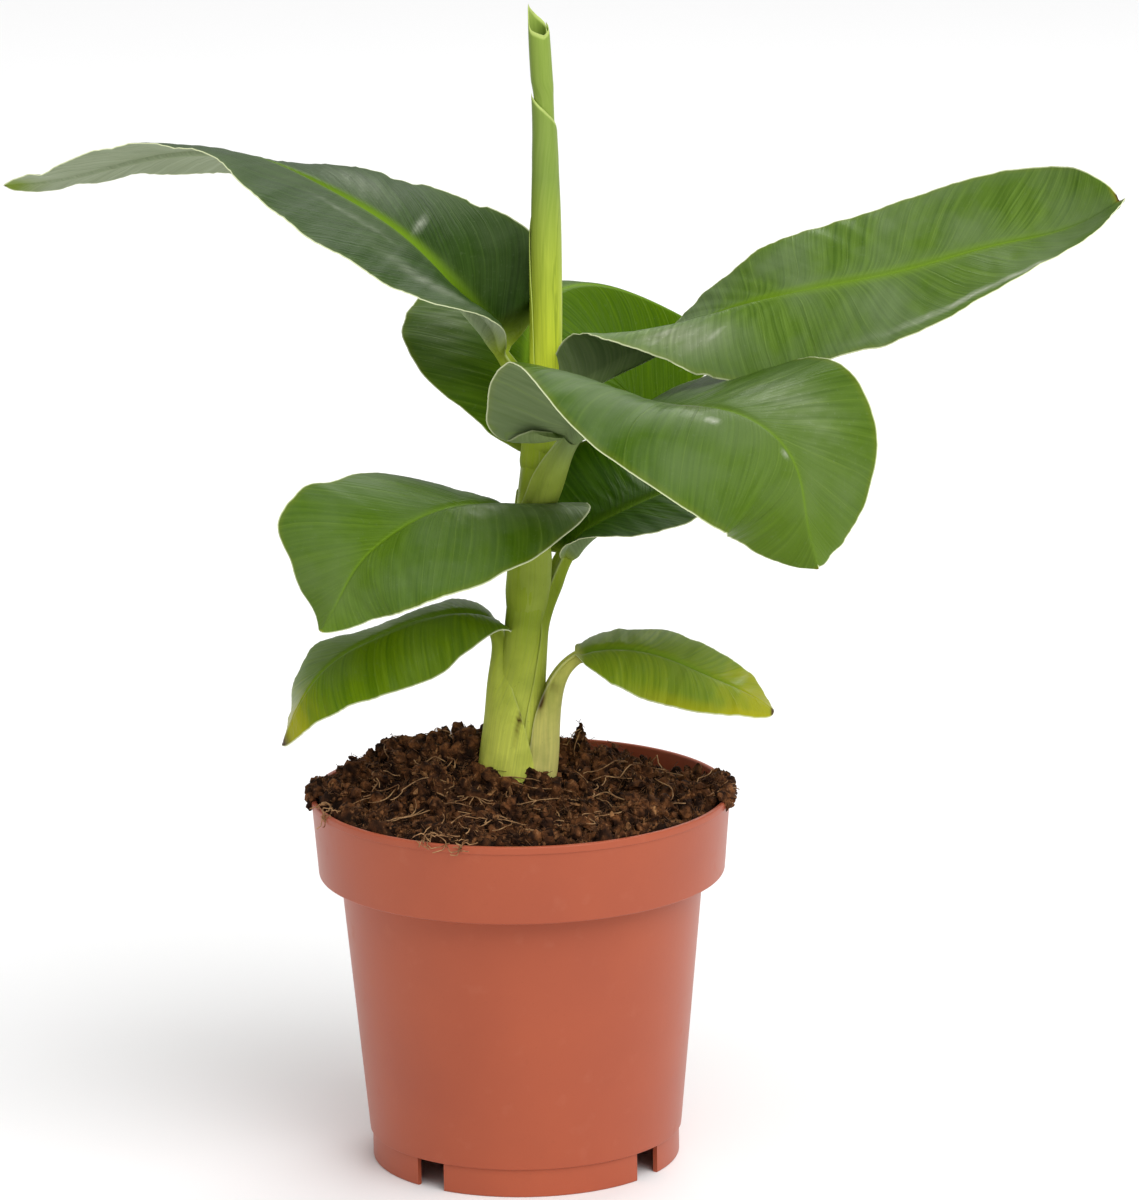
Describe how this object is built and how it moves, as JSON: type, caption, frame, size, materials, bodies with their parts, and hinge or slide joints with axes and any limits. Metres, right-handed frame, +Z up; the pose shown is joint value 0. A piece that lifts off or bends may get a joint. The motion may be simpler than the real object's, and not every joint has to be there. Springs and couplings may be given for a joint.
{
  "type": "potted banana plant",
  "caption": "Young banana plant with broad arching leaves and a tall rolled leaf on a leaning stem, in a round terracotta-coloured nursery pot of soil.",
  "frame": {"origin": "on the ground that the pot stands on, under the middle of the whole plant's bounding box", "axes": "+Z up, +X towards the upper right leaf, and -Y towards the front, where the front leaves reach"},
  "size_m": [0.3142, 0.1826, 0.334],
  "materials": {
    "terracotta": "satin",
    "soil": "rough",
    "stem": "satin",
    "rolled_leaf": "satin",
    "leaf": "satin"
  },
  "bodies": {
    "root": {"pot": "terracotta", "soil": "soil", "pseudostem": "stem", "rolled_leaf": "rolled_leaf", "upper_left_leaf": "leaf", "upper_right_leaf": "leaf", "front_right_leaf": "leaf", "back_leaf": "leaf", "front_left_leaf": "leaf", "rear_right_leaf": "leaf", "lower_left_leaf": "leaf", "lower_right_leaf": "leaf"}
  },
  "joints": []
}
